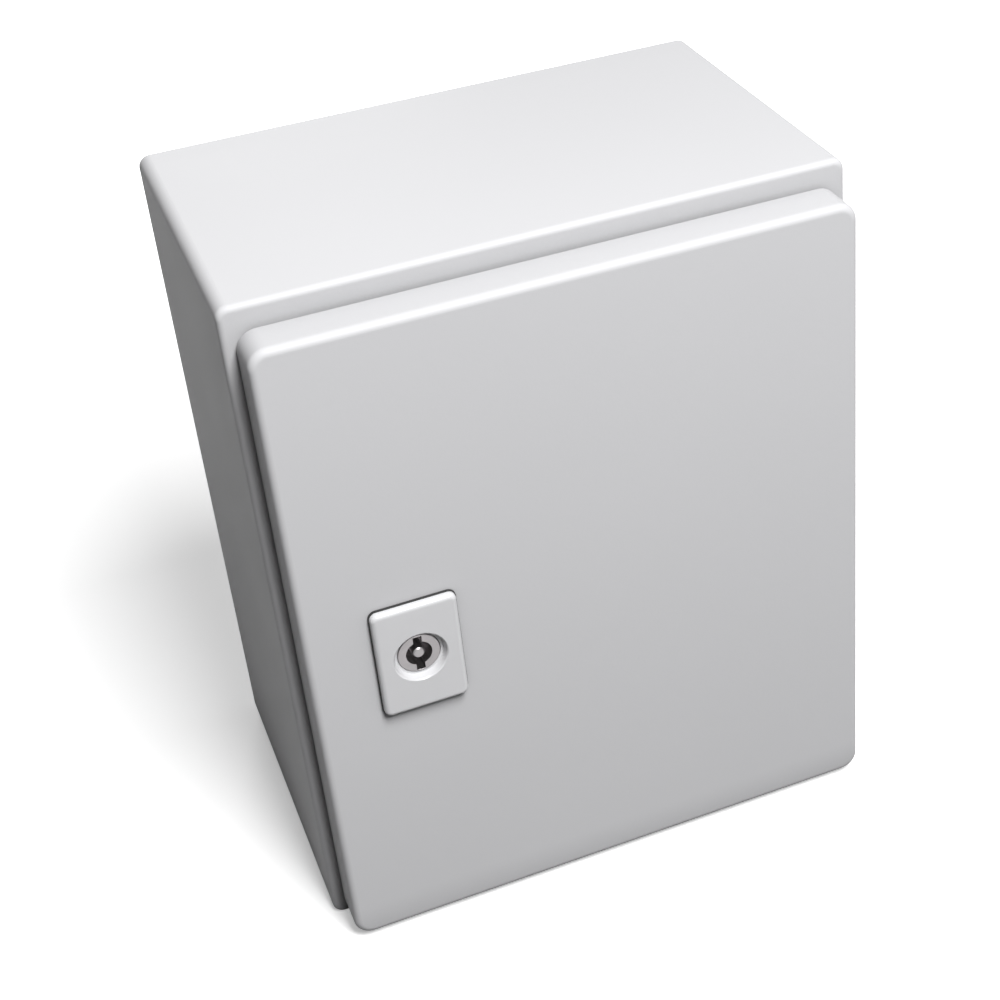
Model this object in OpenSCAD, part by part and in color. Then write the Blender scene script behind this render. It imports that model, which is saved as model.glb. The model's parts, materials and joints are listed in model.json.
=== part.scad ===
// Steel wall enclosure: folded body, pan door on concealed hinges, quarter-turn lock,
// mounting plate and gland plate. Millimetres. Origin: centre of the rear wall face.
// +X to the right seen from the front, +Y into the wall, +Z up.

/* [Body] */
// width over the side walls
body_w = 250; // [230:1:400]
// height over top and base
body_h = 300; // [280:1:500]
// depth from the wall face to the front rim
body_d = 150; // [120:1:250]
// sheet thickness of body, rear panel and door
sheet = 1.5; // [1.2:0.1:2]
// outer radius of the wrap's four corners
wrap_r = 5; // [4:0.5:8]
// outer radius of the fold between wall and rim
front_r = 2.5; // [2.5:0.5:3.5]

/* [Rim] */
// distance from the side wall's outer face to the lip's outer face
rim_w = 24; // [23:0.5:26]
// height of the lip in front of the rim
lip_h = 10; // [8:0.5:11]
// radius in the root of the lip
lip_bend = 1; // [0.5:0.1:1.2]
// radius of the mouth's corners, at the lip's inner face
mouth_r = 6.5; // [5:0.5:12]

/* [Wall fixing] */
// distance of the wall holes from the body's sides
wall_in_x = 25; // [16:1:30]
// distance of the wall holes from the body's top and base
wall_in_z = 25; // [16:1:30]
// wall hole radius
wall_hole_r = 4.25; // [3:0.25:6]
// gap left at the rear panel's welded corners
weld_gap_r = 1; // [0.5:0.1:2]

/* [Mounting plate] */
// clearance between the plate's edge and the mouth, each side
plate_gap = 2; // [1:0.5:10]
// plate thickness
plate_t = 2; // [1.5:0.5:3]
// length of the cut corners that clear the wall bolts
plate_cut = 18; // [14:1:24]
// distance from the rear panel to the plate
plate_off = 16; // [10:1:30]
// distance of the studs from the plate's sides
stud_in_x = 13.5; // [12:0.5:30]
// distance of the studs from the plate's top and bottom
stud_in_z = 24.5; // [22:0.5:50]
// stud thread radius
stud_r = 4; // [3:0.5:5]
// stud shoulder radius
stud_shoulder_r = 6; // [5.5:0.5:7]
// thread length in front of the plate
stud_free = 14; // [12:1:25]

/* [Gland plate] */
// base cut-out across
gland_cut_w = 164; // [100:1:180]
// base cut-out front to back
gland_cut_d = 80; // [50:1:84]
// width of the gasket frame
gland_seal_w = 8; // [6:0.5:10]
// gasket thickness
gland_seal_t = 2.5; // [1.5:0.5:4]
// gland plate thickness
gland_t = 1.5; // [1:0.5:3]
// stud row outside the gasket
gland_stud_gap = 5; // [4:0.5:7]
// gland stud radius
gland_stud_r = 2.5; // [2:0.5:3]
// gland stud length
gland_stud_len = 13; // [12:0.5:18]

/* [Door] */
// inset of the door from the body's sides
door_side_in = 5; // [4:0.5:6]
// inset of the door from the body's top
door_top_in = 9.5; // [5:0.5:10]
// inset of the door from the body's base
door_low_in = 3; // [3:0.5:6]
// gap between rim and door flange
door_gap = 2; // [2:0.5:3]
// depth of the door pan
door_d = 18; // [17:0.5:20]
// radius of the door's corners
door_r = 8; // [6:0.5:14]
// outer radius of the rolled door edge
door_edge_r = 3; // [2.5:0.5:4]

/* [Door seal] */
// width of the foam bead
seal_w = 9; // [8:0.5:9.5]
// distance between bead and lip with the door closed
seal_gap = 0.3; // [0.2:0.1:0.5]

/* [Hinges] */
// distance of the hinge axis from the door's outer edge
hinge_in = 6; // [6:0.1:6.5]
// distance of the hinge axis in front of the rim
hinge_fwd = 12; // [12:0.1:12.5]
// distance of each hinge's middle from the body's end
hinge_end = 50; // [45:1:65]
// pin radius
pin_r = 2.5; // [2:0.1:2.8]
// knuckle and ear radius
knuckle_r = 4; // [3.8:0.1:4.1]
// knuckle length
knuckle_l = 24; // [16:1:30]
// ear thickness
ear_t = 3; // [2:0.5:4]
// axial gap between knuckle and ear
ear_gap = 0.4; // [0.3:0.1:0.8]
// radial clearance of the pin in the knuckle
pin_clear = 0.05; // [0.02:0.01:0.1]
// height of the notch in the door flange at each hinge
notch_l = 44; // [42:1:60]

/* [Lock] */
// distance of the lock's axis from the body's side
lock_in = 49.5; // [48:0.5:70]
// height of the lock's axis below the middle
lock_drop = 7; // [-20:1:20]
// width of the lock's face plate
lock_w = 35; // [34:1:40]
// height of the lock's face plate
lock_h = 50; // [40:1:60]
// thickness of the lock's face plate
lock_t = 4; // [3.5:0.1:5]
// mouth radius of the recess in the face plate
recess_r = 10.8; // [10.5:0.1:12]
// floor radius of the recess
recess_floor_r = 10; // [9.6:0.1:10.2]
// barrel radius
barrel_r = 12; // [11.5:0.5:12.5]
// half the distance between the barrel's flats
barrel_flat = 11; // [10.5:0.5:11]
// bore that the insert turns in
rotor_bore_r = 9; // [8.5:0.1:9.2]
// radial clearance of the insert and of its shaft
rotor_clear = 0.08; // [0.03:0.01:0.1]
// shaft radius
shaft_r = 6; // [5.9:0.1:6.5]
// radius of the key socket
socket_r = 5.4; // [5:0.1:6]
// radius over the two bit slots
slot_r = 7.9; // [7:0.1:8]
// width of the bit slots
slot_w = 3.6; // [3:0.1:5]
// radius of the socket's centre pin
key_pin_r = 2.4; // [1.5:0.1:3]

/* [Cam] */
// cam length from the axis to its tip
cam_l = 38; // [35:1:40]
// cam width
cam_w = 14; // [10:1:16]
// cam thickness
cam_t = 3; // [2:0.5:4]
// gap between the cam and the rim's rear face
cam_gap = 2; // [0.3:0.1:3]
// side of the shaft's square
cam_square = 8; // [7:0.1:8.2]

/* [Earthing] */
// earthing stud radius
earth_r = 3; // [2.5:0.5:4]
// earthing stud length
earth_l = 14; // [12:1:14]

/* [Hidden] */
$fn = 64;
// clearance in bores of nuts and washers over their own studs
hole_clear = 0.5;
nut_clear = 0.05;
// clearance of plain sunk pieces
seat_clear = 0.1;
inner_w = body_w - 2 * sheet;
inner_h = body_h - 2 * sheet;
wall_dx = body_w - 2 * wall_in_x;
wall_dz = body_h - 2 * wall_in_z;
mouth_w = body_w - 2 * (rim_w + sheet);
mouth_h = body_h - 2 * (rim_w + sheet);
lip_root = sheet + lip_bend;
lip_front = body_d + lip_h;
rim_back = body_d - sheet;
rear_r = wrap_r - sheet + weld_gap_r;
plate_w = mouth_w - 2 * plate_gap;
plate_h = mouth_h - 2 * plate_gap;
stud_dx = plate_w - 2 * stud_in_x;
stud_dz = plate_h - 2 * stud_in_z;
plate_z = sheet + plate_off;
plate_front = plate_z + plate_t;
door_w = body_w - 2 * door_side_in;
door_h = body_h - door_top_in - door_low_in;
door_rise = (door_low_in - door_top_in) / 2;
door_back = body_d + door_gap;
door_front = door_back + door_d;
door_in = door_front - sheet;
hinge_x = door_w / 2 - hinge_in;
hinge_f = body_d + hinge_fwd;
hinge_dz = body_h - 2 * hinge_end;
ear_y = knuckle_l / 2 + ear_gap;
pin_top = ear_y + ear_t;
pin_head_t = pin_r * 0.6;
pin_head_r = knuckle_r - 0.2;
hinge_foot_t = door_gap;
ear_foot_l = notch_l - 4;
ear_foot_left = 8.4;
ear_foot_right = hinge_in - door_edge_r - 0.1;
knuckle_foot_l = knuckle_l + 12;
foot_left = mouth_w / 2 + lip_root + 0.6;
arm_w = knuckle_r;
arm_left = hinge_x - knuckle_r - arm_w;
arm_right = hinge_x - knuckle_r;
foot_right = arm_right + 1;
seal_x = mouth_w / 2 + sheet / 2;
seal_h = door_in - lip_front - seal_gap;
seal_crown = 3.5;
lock_x = lock_in - body_w / 2;
lock_face = door_front + lock_t;
lock_edge_r = 2;
lock_corner_r = 3;
recess_depth = 3.2;
recess_floor = lock_face - recess_depth;
cam_front = rim_back - cam_gap;
cam_back = cam_front - cam_t;
barrel_end = cam_front + 1.8;
barrel_wall = 3;
rotor_back = barrel_end + barrel_wall + seat_clear;
rotor_front = recess_floor + 0.4;
rotor_r = rotor_bore_r - rotor_clear;
socket_depth = 11;
cam_boss_r = 9;
lock_seal_t = 1;
lock_seal_rim = 0.4;
lock_seat = door_front + lock_seal_t;
lock_nut_flats = 2 * barrel_r + 6;
lock_nut_t = 5;
gland_mid = body_d / 2;
gland_seal_iw = gland_cut_w + 6;
gland_seal_id = gland_cut_d + 6;
gland_stud_x = gland_seal_iw / 2 + gland_seal_w + gland_stud_gap;
gland_stud_z = gland_seal_id / 2 + gland_seal_w + gland_stud_gap;
gland_w = 2 * gland_stud_x + 10;
gland_d = 2 * gland_stud_z + 10;
gland_floor = sheet - body_h / 2;
gland_top = gland_floor + gland_seal_t + gland_t;
gland_washer_t = 1;
gland_nut_t = 4;
washer_t = 1.6;
nut_t = 6.5;
nut_flats = 13;
earth_flats = 10;
earth_nut_t = 5;
earth_seat = 6;
earth_y = -body_h / 2 + 42;
earth_z = 60;
door_earth_x = lock_x - 5;
door_earth_y = earth_y + 5;

grey_paint = [0.78, 0.78, 0.79];
zinc = [0.72, 0.74, 0.75];
steel = [0.62, 0.62, 0.64];
black = [0.08, 0.08, 0.08];

// turns a piece drawn in the door's plane so that its local z runs forward, away from the wall
module facing() {
  rotate([90, 0, 0]) children();
}

// rectangle with round corners, centred
module rrect(w, h, r) {
  square([w - 2 * r, h], center = true);
  square([w, h - 2 * r], center = true);
  for (sx = [-1, 1], sy = [-1, 1]) {
    translate([sx * (w / 2 - r), sy * (h / 2 - r)]) circle(r);
  }
}

// plate of height d with round corners
module slab(w, h, r, d) {
  linear_extrude(d) rrect(w, h, r);
}

// half section of a block whose front edge is rolled to radius e
module rolled_half(x, d, e) {
  square([x, d - e]);
  square([x - e, d]);
  translate([x - e, d - e]) intersection() {
    circle(e);
    square([e, e]);
  }
}

// whole section, both edges rolled
module rolled_section(w, d, e) {
  rolled_half(w / 2, d, e);
  mirror([1, 0]) rolled_half(w / 2, d, e);
}

// block with corner radius r and its front edge rolled to radius e
module pillow(w, h, r, e, d) {
  translate([0, h / 2 - r, 0]) rotate([90, 0, 0]) linear_extrude(h - 2 * r) rolled_section(w, d, e);
  rotate([0, 0, 90]) translate([0, w / 2 - r, 0]) rotate([90, 0, 0]) {
    linear_extrude(w - 2 * r) rolled_section(h, d, e);
  }
  for (sx = [-1, 1], sy = [-1, 1]) {
    translate([sx * (w / 2 - r), sy * (h / 2 - r), 0]) rotate_extrude() rolled_half(r, d, e);
  }
}

// folded tray of sheet thickness t, open at the back
module tray(w, h, r, e, d, t) {
  difference() {
    pillow(w, h, r, e, d);
    translate([0, 0, -1]) pillow(w - 2 * t, h - 2 * t, r - t, e - t, d - t + 1);
  }
}

// runs a section round a rectangle w by h with corner radius r: section x is outward, y forward
module around(w, h, r) {
  for (turn = [0, 180]) {
    rotate([0, 0, turn]) translate([w / 2, h / 2 - r, 0]) rotate([90, 0, 0]) {
      linear_extrude(h - 2 * r) children();
    }
    rotate([0, 0, turn + 90]) translate([h / 2, w / 2 - r, 0]) rotate([90, 0, 0]) {
      linear_extrude(w - 2 * r) children();
    }
    rotate([0, 0, turn]) translate([w / 2 - r, h / 2 - r, 0]) rotate_extrude(angle = 90) {
      translate([r, 0]) children();
    }
    rotate([0, 0, turn]) translate([r - w / 2, h / 2 - r, 0]) rotate([0, 0, 90]) {
      rotate_extrude(angle = 90) translate([r, 0]) children();
    }
  }
}

// four places at plus and minus half the spacings
module at_four(dx, dy) {
  for (sx = [-1, 1], sy = [-1, 1]) {
    translate([sx * dx / 2, sy * dy / 2, 0]) children();
  }
}

// six gland studs, in the base's plane: four near the corners, two in the middle of the long sides
module at_gland_studs() {
  for (sx = [-1, 1], sz = [-1, 1]) {
    translate([sx * gland_stud_x, sz * gland_stud_z * 0.7]) children();
  }
  for (sz = [-1, 1]) {
    translate([0, sz * gland_stud_z]) children();
  }
}

// lifts a piece drawn in the base's plane to height z, centred under the gland cut-out
module on_base(z) {
  translate([0, -gland_mid, z]) children();
}

// flat ring
module ring(ro, ri, t) {
  difference() {
    cylinder(r = ro, h = t);
    translate([0, 0, -1]) cylinder(r = ri, h = t + 2);
  }
}

// hexagon nut by its distance across flats
module hex_nut(flats, ri, t) {
  difference() {
    intersection() {
      cylinder(r = flats / sqrt(3), h = t, $fn = 6);
      union() {
        cylinder(r1 = flats / 2 * 0.96, r2 = flats / 2 * 1.16, h = t * 0.16);
        translate([0, 0, t * 0.16]) cylinder(r = flats / 2 * 1.16, h = t * 0.68);
        translate([0, 0, t * 0.84]) cylinder(r1 = flats / 2 * 1.16, r2 = flats / 2 * 0.96, h = t * 0.16);
      }
    }
    translate([0, 0, -1]) cylinder(r = ri, h = t + 2);
  }
}

// threaded end of length l with a chamfered tip
module shank(r, l) {
  cylinder(r = r, h = l - 1);
  translate([0, 0, l - 1]) cylinder(r1 = r, r2 = r - 0.8, h = 1);
}

// welded stud: flange, then thread
module weld_stud(r, l) {
  cylinder(r = r + 1.8, h = 1);
  shank(r, l);
}

// section of the lip: root fold and upright, x outward from the mouth, y forward of the rim
module lip_section() {
  translate([0, lip_bend]) square([sheet, lip_h - lip_bend]);
  translate([lip_root, lip_bend]) intersection() {
    difference() {
      circle(lip_root);
      circle(lip_bend);
    }
    translate([-lip_root, -lip_root]) square(lip_root);
  }
}

module body_shell() {
  color(grey_paint) difference() {
    facing() union() {
      difference() {
        tray(body_w, body_h, wrap_r, front_r, body_d, sheet);
        translate([0, 0, rim_back - 1]) {
          slab(mouth_w + 2 * lip_root, mouth_h + 2 * lip_root, mouth_r + lip_root, sheet + 2);
        }
      }
      around(mouth_w, mouth_h, mouth_r) translate([0, body_d]) lip_section();
    }
    on_base(-body_h / 2 - 1) slab(gland_cut_w, gland_cut_d, 6, sheet + 2);
  }
}

module rear_panel() {
  color(grey_paint) facing() difference() {
    slab(inner_w, inner_h, rear_r, sheet);
    translate([0, 0, -1]) at_four(wall_dx, wall_dz) cylinder(r = wall_hole_r, h = sheet + 2);
  }
}

module plate_studs() {
  color(zinc) facing() translate([0, 0, sheet]) at_four(stud_dx, stud_dz) {
    cylinder(r = stud_shoulder_r + 2, h = 1.2);
    cylinder(r = stud_shoulder_r, h = plate_off);
    translate([0, 0, plate_off]) shank(stud_r, plate_t + stud_free);
  }
}

module mounting_plate() {
  color(zinc) facing() translate([0, 0, plate_z]) difference() {
    linear_extrude(plate_t) difference() {
      square([plate_w, plate_h], center = true);
      for (sx = [-1, 1], sy = [-1, 1]) {
        translate([sx * plate_w / 2, sy * plate_h / 2]) rotate(45) {
          square(plate_cut * sqrt(2), center = true);
        }
      }
    }
    translate([0, 0, -1]) at_four(stud_dx, stud_dz) cylinder(r = stud_r + hole_clear, h = plate_t + 2);
  }
}

module plate_washers() {
  color(zinc) facing() translate([0, 0, plate_front]) at_four(stud_dx, stud_dz) {
    ring(stud_r * 2, stud_r + 0.2, washer_t);
  }
}

module plate_nuts() {
  color(zinc) facing() translate([0, 0, plate_front + washer_t]) at_four(stud_dx, stud_dz) {
    hex_nut(nut_flats, stud_r + nut_clear, nut_t);
  }
}

module gland_gasket() {
  color(black) on_base(gland_floor) linear_extrude(gland_seal_t) difference() {
    rrect(gland_seal_iw + 2 * gland_seal_w, gland_seal_id + 2 * gland_seal_w, 8);
    rrect(gland_seal_iw, gland_seal_id, 6);
  }
}

module gland_plate() {
  color(grey_paint) on_base(gland_floor + gland_seal_t) difference() {
    slab(gland_w, gland_d, 4, gland_t);
    translate([0, 0, -1]) at_gland_studs() cylinder(r = gland_stud_r + hole_clear, h = gland_t + 2);
  }
}

module gland_studs() {
  color(zinc) on_base(gland_floor) at_gland_studs() weld_stud(gland_stud_r, gland_stud_len);
}

module gland_washers() {
  color(zinc) on_base(gland_top) at_gland_studs() {
    ring(gland_stud_r * 2, gland_stud_r + 0.2, gland_washer_t);
  }
}

module gland_nuts() {
  color(zinc) on_base(gland_top + gland_washer_t) at_gland_studs() {
    hex_nut(8, gland_stud_r + nut_clear, gland_nut_t);
  }
}

// places a piece on the inner face of the left wall, its local z pointing into the body
module on_left_wall(off) {
  translate([sheet - body_w / 2 + off, -earth_z, earth_y]) rotate([0, 90, 0]) children();
}

// places a piece on the door's inner face, its local z pointing towards the wall
module on_door_inside(off) {
  translate([door_earth_x, off - door_in, door_earth_y]) rotate([-90, 0, 0]) children();
}

module earth_stud() {
  cylinder(r = earth_r + 2, h = earth_seat);
  shank(earth_r, earth_l);
}

module body_earth_stud() {
  color(zinc) on_left_wall(0) earth_stud();
}

module body_earth_washer() {
  color(zinc) on_left_wall(earth_seat) ring(earth_r * 2, earth_r + 0.2, 1.2);
}

module body_earth_nut() {
  color(zinc) on_left_wall(earth_seat + 1.2) hex_nut(earth_flats, earth_r + nut_clear, earth_nut_t);
}

// body side of a hinge: foot on the rim, arm beside the lip, knuckle on the hinge axis
module hinge_bracket(y) {
  facing() translate([0, y, 0]) difference() {
    union() {
      translate([foot_left, -knuckle_foot_l / 2, body_d]) {
        cube([foot_right - foot_left, knuckle_foot_l, hinge_foot_t]);
      }
      translate([arm_left, -knuckle_l / 2, body_d]) {
        cube([arm_right - arm_left, knuckle_l, hinge_fwd + 2]);
      }
      translate([arm_left, -knuckle_l / 2, hinge_f - 2]) cube([2 * arm_w, knuckle_l, 4]);
      translate([hinge_x, knuckle_l / 2, hinge_f]) rotate([90, 0, 0]) {
        cylinder(r = knuckle_r, h = knuckle_l);
      }
    }
    translate([hinge_x, knuckle_l / 2 + 1, hinge_f]) rotate([90, 0, 0]) {
      cylinder(r = pin_r + pin_clear, h = knuckle_l + 2);
    }
  }
}

module hinge_bracket_upper() {
  color(zinc) hinge_bracket(hinge_dz / 2);
}

module hinge_bracket_lower() {
  color(zinc) hinge_bracket(-hinge_dz / 2);
}

// outline of an ear across the hinge axis, y forward
module ear_outline() {
  bend = door_edge_r - sheet;
  circle(knuckle_r);
  translate([-knuckle_r, 0]) square([2 * knuckle_r, door_in - hinge_f - bend - 0.5]);
  translate([-knuckle_r, 0]) square([knuckle_r + ear_foot_right, door_in - hinge_f]);
}

// door side of a hinge: foot on the door's inner face, an ear above and below the knuckle
module hinge_ears(y) {
  facing() translate([hinge_x, y, hinge_f]) difference() {
    union() {
      translate([-ear_foot_left, -ear_foot_l / 2, door_in - hinge_f - hinge_foot_t]) {
        cube([ear_foot_left + ear_foot_right, ear_foot_l, hinge_foot_t]);
      }
      for (side = [-1, 1]) {
        translate([0, side * (ear_y + ear_t / 2) + ear_t / 2, 0]) rotate([90, 0, 0]) {
          linear_extrude(ear_t) ear_outline();
        }
      }
    }
    translate([0, pin_top + 1, 0]) rotate([90, 0, 0]) {
      cylinder(r = pin_r + 0.02, h = 2 * pin_top + 2);
    }
  }
}

module hinge_ears_upper() {
  color(zinc) hinge_ears(hinge_dz / 2);
}

module hinge_ears_lower() {
  color(zinc) hinge_ears(-hinge_dz / 2);
}

// two headed pins, each with a groove for its clip below the lower ear
module hinge_pins() {
  color(steel) for (s = [-1, 1]) {
    translate([hinge_x, -hinge_f, s * hinge_dz / 2 - pin_top]) {
      cylinder(r = pin_r, h = 2 * pin_top);
      translate([0, 0, 2 * pin_top]) cylinder(r = pin_head_r, h = pin_head_t);
      translate([0, 0, -1]) cylinder(r = pin_r - 0.4, h = 1);
      translate([0, 0, -1.8]) cylinder(r = pin_r, h = 0.8);
      translate([0, 0, -2.4]) cylinder(r1 = pin_r - 0.5, r2 = pin_r, h = 0.6);
    }
  }
}

module pin_clips() {
  color(steel) for (s = [-1, 1]) {
    translate([hinge_x, -hinge_f, s * hinge_dz / 2 - pin_top - 0.9]) difference() {
      ring(pin_head_r, pin_r - 0.35, 0.8);
      translate([-5, -1, -1]) cube([5, 2, 3]);
    }
  }
}

// the barrel's outline: a round with two flats, grown by c
module barrel_outline(c) {
  intersection() {
    circle(barrel_r + c);
    square([2 * (barrel_flat + c), 3 * barrel_r], center = true);
  }
}

module door_panel() {
  color(grey_paint) facing() difference() {
    translate([0, door_rise, door_back]) tray(door_w, door_h, door_r, door_edge_r, door_d, sheet);
    for (s = [-1, 1]) {
      translate([door_w / 2 - sheet - 1, s * hinge_dz / 2 - notch_l / 2, door_back - 1]) {
        cube([sheet + 2, notch_l, hinge_f + 2 - door_back]);
      }
    }
    translate([lock_x, -lock_drop, door_in - 1]) linear_extrude(sheet + 2) barrel_outline(0.25);
  }
}

// section of the foam bead: flat on the door, crowned towards the lip
module seal_section() {
  square([seal_w, 2 * (seal_h - seal_crown)], center = true);
  translate([0, -seal_h / 2]) square([seal_w - 2 * seal_crown, seal_h], center = true);
  for (s = [-1, 1]) {
    translate([s * (seal_w / 2 - seal_crown), seal_crown - seal_h]) circle(seal_crown);
  }
}

module door_seal() {
  color(black) facing() around(2 * seal_x, mouth_h + sheet, mouth_r + sheet / 2) {
    translate([0, door_in]) intersection() {
      seal_section();
      translate([-seal_w, -2 * seal_h]) square([2 * seal_w, 2 * seal_h]);
    }
  }
}

module door_earth_stud() {
  color(zinc) on_door_inside(0) earth_stud();
}

module door_earth_washer() {
  color(zinc) on_door_inside(earth_seat) ring(earth_r * 2, earth_r + 0.2, 1.2);
}

module door_earth_nut() {
  color(zinc) on_door_inside(earth_seat + 1.2) hex_nut(earth_flats, earth_r + nut_clear, earth_nut_t);
}

// places a piece on the lock's axis, local z forward, at distance z from the wall
module at_lock(z) {
  facing() translate([lock_x, -lock_drop, z]) children();
}

module lock_housing() {
  color(steel) difference() {
    union() {
      at_lock(lock_seat) pillow(lock_w, lock_h, lock_corner_r, lock_edge_r, lock_t - lock_seal_t);
      at_lock(barrel_end) linear_extrude(lock_seat - barrel_end + 0.5) barrel_outline(0);
    }
    at_lock(recess_floor) cylinder(r1 = recess_floor_r, r2 = recess_r, h = recess_depth - 0.5);
    at_lock(lock_face - 0.5) cylinder(r1 = recess_r, r2 = recess_r + 0.5, h = 0.5);
    at_lock(lock_face) cylinder(r = recess_r + 0.5, h = 1);
    at_lock(barrel_end + barrel_wall) cylinder(r = rotor_bore_r, h = 30);
    at_lock(barrel_end - 1) cylinder(r = shaft_r + rotor_clear, h = barrel_wall + 2);
  }
}

// flat gasket that shows as a thin rim round the plate
module lock_seal() {
  color(black) at_lock(door_front) linear_extrude(lock_seal_t) difference() {
    rrect(lock_w + 2 * lock_seal_rim, lock_h + 2 * lock_seal_rim, lock_corner_r + lock_seal_rim);
    circle(barrel_r + 0.5);
  }
}

module lock_nut() {
  color(zinc) at_lock(door_in - lock_nut_t) hex_nut(lock_nut_flats, barrel_r + nut_clear, lock_nut_t);
}

// insert: head with a key socket and two upright bit slots, shaft with a square end for the cam
module lock_insert() {
  color(steel) difference() {
    union() {
      at_lock(rotor_back) cylinder(r = rotor_r, h = rotor_front - rotor_back - 0.4);
      at_lock(rotor_front - 0.4) cylinder(r1 = rotor_r, r2 = rotor_r - 0.4, h = 0.4);
      at_lock(cam_front) cylinder(r = shaft_r, h = rotor_back - cam_front + 1);
      at_lock(cam_back + 0.2) translate([0, 0, cam_t / 2]) {
        cube([cam_square, cam_square, cam_t], center = true);
      }
    }
    at_lock(rotor_front - socket_depth) difference() {
      linear_extrude(socket_depth + 1) {
        circle(socket_r);
        square([slot_w, 2 * slot_r], center = true);
      }
      translate([0, 0, -1]) cylinder(r = key_pin_r, h = socket_depth + 0.5);
      translate([0, 0, socket_depth - 0.5]) cylinder(r1 = key_pin_r, r2 = key_pin_r - 0.5, h = 0.5);
    }
    at_lock(cam_back - 1) cylinder(r = 2.5, h = 12);
  }
}

module lock_cam() {
  color(zinc) at_lock(cam_back) linear_extrude(cam_t) difference() {
    union() {
      circle(cam_boss_r);
      translate([-cam_w / 2, cam_w / 2 - cam_l]) square([cam_w, cam_l - cam_w / 2]);
      translate([0, cam_w / 2 - cam_l]) circle(cam_w / 2);
    }
    square(cam_square + 0.1, center = true);
  }
}

module cam_washer() {
  color(zinc) at_lock(cam_back - 1.2) ring(7, 2.7, 1.2);
}

module cam_screw() {
  color(steel) difference() {
    union() {
      at_lock(cam_back - 2) cylinder(r = 2.45, h = 11.8);
      at_lock(cam_back - 4.2) cylinder(r = 4.25, h = 3);
    }
    at_lock(cam_back - 5) cylinder(r = 3 / sqrt(3), h = 2.8, $fn = 6);
  }
}

body_shell();
rear_panel();
plate_studs();
mounting_plate();
plate_washers();
plate_nuts();
gland_gasket();
gland_plate();
gland_studs();
gland_washers();
gland_nuts();
body_earth_stud();
body_earth_washer();
body_earth_nut();
hinge_bracket_upper();
hinge_bracket_lower();
door_panel();
door_seal();
hinge_ears_upper();
hinge_ears_lower();
hinge_pins();
pin_clips();
door_earth_stud();
door_earth_washer();
door_earth_nut();
lock_housing();
lock_seal();
lock_nut();
lock_insert();
lock_cam();
cam_washer();
cam_screw();
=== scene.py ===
"""Steel wall enclosure.

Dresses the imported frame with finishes, threads and weld marks, and lights it.
"""

import json
import logging
import math
from collections.abc import Sequence
from dataclasses import dataclass
from enum import Enum
from typing import Any

import bpy
from mathutils import Matrix, Vector


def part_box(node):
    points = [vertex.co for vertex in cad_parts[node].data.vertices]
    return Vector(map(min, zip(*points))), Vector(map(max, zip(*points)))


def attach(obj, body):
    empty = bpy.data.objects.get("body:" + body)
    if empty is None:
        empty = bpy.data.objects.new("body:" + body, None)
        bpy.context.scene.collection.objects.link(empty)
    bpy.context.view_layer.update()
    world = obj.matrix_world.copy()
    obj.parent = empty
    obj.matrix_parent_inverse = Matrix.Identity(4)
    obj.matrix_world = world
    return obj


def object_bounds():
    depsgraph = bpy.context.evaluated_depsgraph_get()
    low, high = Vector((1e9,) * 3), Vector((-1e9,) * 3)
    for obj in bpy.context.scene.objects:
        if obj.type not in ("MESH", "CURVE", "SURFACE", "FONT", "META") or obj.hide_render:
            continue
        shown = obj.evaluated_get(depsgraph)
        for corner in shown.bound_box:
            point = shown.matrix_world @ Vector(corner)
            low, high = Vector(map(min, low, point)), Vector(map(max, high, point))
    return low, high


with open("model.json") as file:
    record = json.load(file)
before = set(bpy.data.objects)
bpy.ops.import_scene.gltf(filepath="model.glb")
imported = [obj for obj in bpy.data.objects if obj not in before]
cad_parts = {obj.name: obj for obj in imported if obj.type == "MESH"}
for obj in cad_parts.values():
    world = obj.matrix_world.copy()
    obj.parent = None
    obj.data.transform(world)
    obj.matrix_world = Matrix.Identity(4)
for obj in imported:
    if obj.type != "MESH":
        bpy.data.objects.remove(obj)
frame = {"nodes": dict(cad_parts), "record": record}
CAD_LOW, CAD_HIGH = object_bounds()

MM = 0.001
# a spot weld's section, as shares of its radius and height, from its edge inwards
SPOT_PROFILE = ((1.0, -0.05), (0.93, 0.5), (0.8, 1.0), (0.66, 0.75), (0.5, 0.25), (0.25, 0.12))
SPOT_MIDDLE = 0.1
SPOT_STEPS = 32
LOG = logging.getLogger("wall_enclosure")

Rgb = tuple[float, float, float]
Triple = tuple[float, float, float]
Faces = list[tuple[int, ...]]


class Body(Enum):
    """The bodies that the added pieces ride on."""

    ENCLOSURE = "enclosure_body"
    DOOR = "door"


class Slot(Enum):
    """The record's material slots."""

    POWDER_COAT = "powder_coat"
    ZINC_PLATE = "zinc_plate"
    HARDWARE = "hardware"
    HINGE_STEEL = "hinge_steel"
    LOCK_BODY = "lock_body"
    LOCK_METAL = "lock_metal"
    FOAM_SEAL = "foam_seal"
    RUBBER_SEAL = "rubber_seal"


class Heading(Enum):
    """Directions that studs, barrels and discs point in."""

    RIGHT = (1.0, 0.0, 0.0)
    TO_WALL = (0.0, 1.0, 0.0)
    FORWARD = (0.0, -1.0, 0.0)
    UP = (0.0, 0.0, 1.0)


class PortKind(Enum):
    """Kinds of node group socket."""

    VALUE = "NodeSocketFloat"
    COLOUR = "NodeSocketColor"
    VECTOR = "NodeSocketVector"


@dataclass(frozen=True)
class Port:
    """A named socket of an effect group.

    Args:
        name: the socket's label.
        kind: what it carries.
        value: its default, for an input.
    """

    name: str
    kind: PortKind
    value: Any = None


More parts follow.
